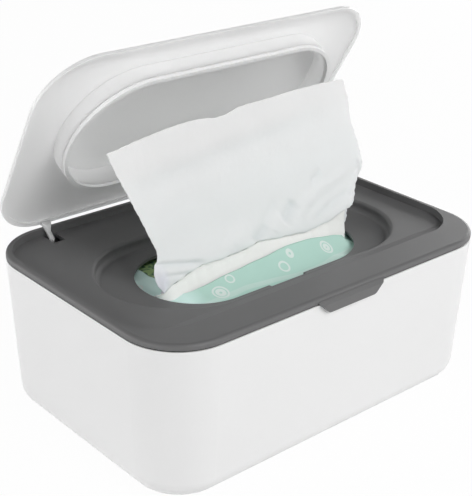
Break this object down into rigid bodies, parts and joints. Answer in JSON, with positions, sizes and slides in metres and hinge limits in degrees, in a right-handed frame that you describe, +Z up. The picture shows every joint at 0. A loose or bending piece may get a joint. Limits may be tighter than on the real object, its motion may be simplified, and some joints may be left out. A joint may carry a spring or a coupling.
{
  "type": "wipes dispenser",
  "caption": "Table-top wet-wipes dispenser: pale tub, dark lift-off cover with an oval dispensing opening, and a hinged sealing lid held open over a raised wipe.",
  "frame": {"origin": "centre of the footprint, on the surface that the feet stand on", "axes": "+X along the dispenser, -Y towards the user, +Y the hinge side, +Z up"},
  "size_m": [0.195, 0.1377, 0.1717],
  "materials": {
    "tub_plastic": "satin white moulded plastic",
    "feet_rubber": "soft matte pads",
    "gasket_rubber": "matte black",
    "cover_plastic": "fine matte charcoal moulding",
    "pin_steel": "plain",
    "lid_plastic": "smooth white moulded plastic",
    "seal_rubber": "soft white silicone",
    "pouch_film": "printed mint film",
    "wipe_fabric": "damp non-woven sheet"
  },
  "bodies": {
    "base": {"tub": "tub_plastic", "non_slip_feet": "feet_rubber", "pouch": "pouch_film", "wipe_stack": "wipe_fabric", "next_wipe": "wipe_fabric"},
    "cover": {"cover": "cover_plastic", "cover_gasket": "gasket_rubber", "hinge_pin_left": "pin_steel", "hinge_pin_right": "pin_steel", "raised_wipe": "wipe_fabric"},
    "lid": {"lid": "lid_plastic", "lid_seal_ring": "seal_rubber", "hinge_arm_left": "lid_plastic", "hinge_arm_right": "lid_plastic"}
  },
  "joints": [
    {"name": "cover_lift", "type": "slide", "parent": "base", "child": "cover", "axis": [0, 0, 1], "range_m": [0, 0.09]},
    {"name": "lid_hinge", "type": "hinge", "parent": "cover", "child": "lid", "pos_m": [0, 0.0636, 0.069], "axis": [-1, 0, 0], "range_deg": [-59.2, 0], "deforming": ["raised_wipe"]}
  ]
}
